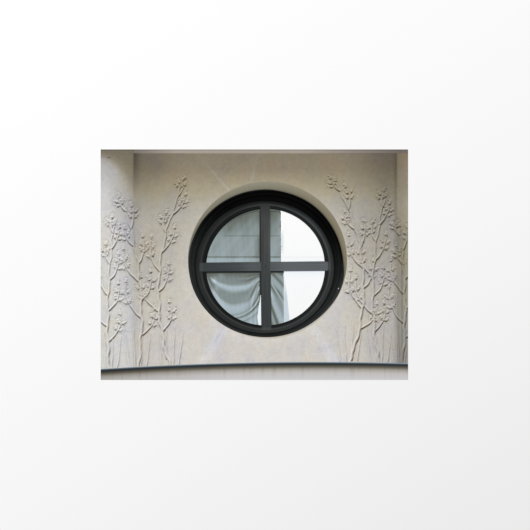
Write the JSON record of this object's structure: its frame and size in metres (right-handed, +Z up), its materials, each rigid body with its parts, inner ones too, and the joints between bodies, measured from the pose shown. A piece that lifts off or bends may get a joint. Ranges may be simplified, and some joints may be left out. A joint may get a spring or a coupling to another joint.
{
  "type": "wall decal",
  "caption": "Rectangular self-adhesive wall decal, printed edge to edge with a round window of panes in a pale stone wall between leafy sprays.",
  "frame": {"origin": "middle of the adhesive back face, which lies against the wall", "axes": "+X along the sheet's width, to the right as its print is seen; +Y out of the adhesive back, into the wall, so that the print faces -Y; +Z up the picture"},
  "size_m": [0.6096, 0.0003, 0.4572],
  "materials": {
    "film_white": "matt white self-adhesive vinyl",
    "wall_ink": "matt print, warm pale stone",
    "wall_shade_ink": "matt print, shaded stone",
    "head_band_ink": "matt print, stone head band",
    "pier_ink": "matt print, light stone pier",
    "pier_shade_ink": "matt print, shadow on the pier",
    "right_pier_ink": "matt print, darker stone pier",
    "ledge_ink": "matt print, dark ledge line",
    "ledge_shade_ink": "matt print, shade under the ledge",
    "plinth_ink": "matt print, stained plinth",
    "reveal_ink": "matt print, stone reveal",
    "black_ink": "matt print, black frame",
    "sash_ink": "matt print, dark grey sash",
    "bar_ink": "matt print, grey glazing bars",
    "sky_ink": "matt print, bright sky in the glass",
    "curtain_ink": "matt print, grey blue curtain",
    "gauze_ink": "matt print, thin curtain edge",
    "swag_ink": "matt print, light swag",
    "fold_ink": "matt print, folds and lines of the curtain",
    "joint_ink": "matt print, stone joints",
    "stem_ink": "matt print, carved stems and grass",
    "leaf_ink": "matt print, carved leaves"
  },
  "bodies": {
    "root": {"film": "film_white", "print_wall": "wall_ink", "print_wall_shade": "wall_shade_ink", "print_head_band": "head_band_ink", "print_left_pier": "pier_ink", "print_pier_shade": "pier_shade_ink", "print_right_pier": "right_pier_ink", "print_ledge_line": "ledge_ink", "print_ledge_shade": "ledge_shade_ink", "print_plinth": "plinth_ink", "print_reveal": "reveal_ink", "print_frame": "black_ink", "print_pier_line": "stem_ink", "print_joints": "joint_ink", "print_left_stems": "stem_ink", "print_left_leaves": "leaf_ink", "print_left_grass": "stem_ink", "print_right_stems": "stem_ink", "print_right_leaves": "leaf_ink", "print_right_grass": "stem_ink", "print_sash": "sash_ink", "print_rebate": "black_ink", "print_sky": "sky_ink", "print_curtain": "curtain_ink", "print_gauze": "gauze_ink", "print_glazing_bars": "bar_ink", "print_bar_shadow": "black_ink", "print_swag": "swag_ink", "print_curtain_folds": "fold_ink", "print_blind_lines": "fold_ink"}
  },
  "joints": []
}
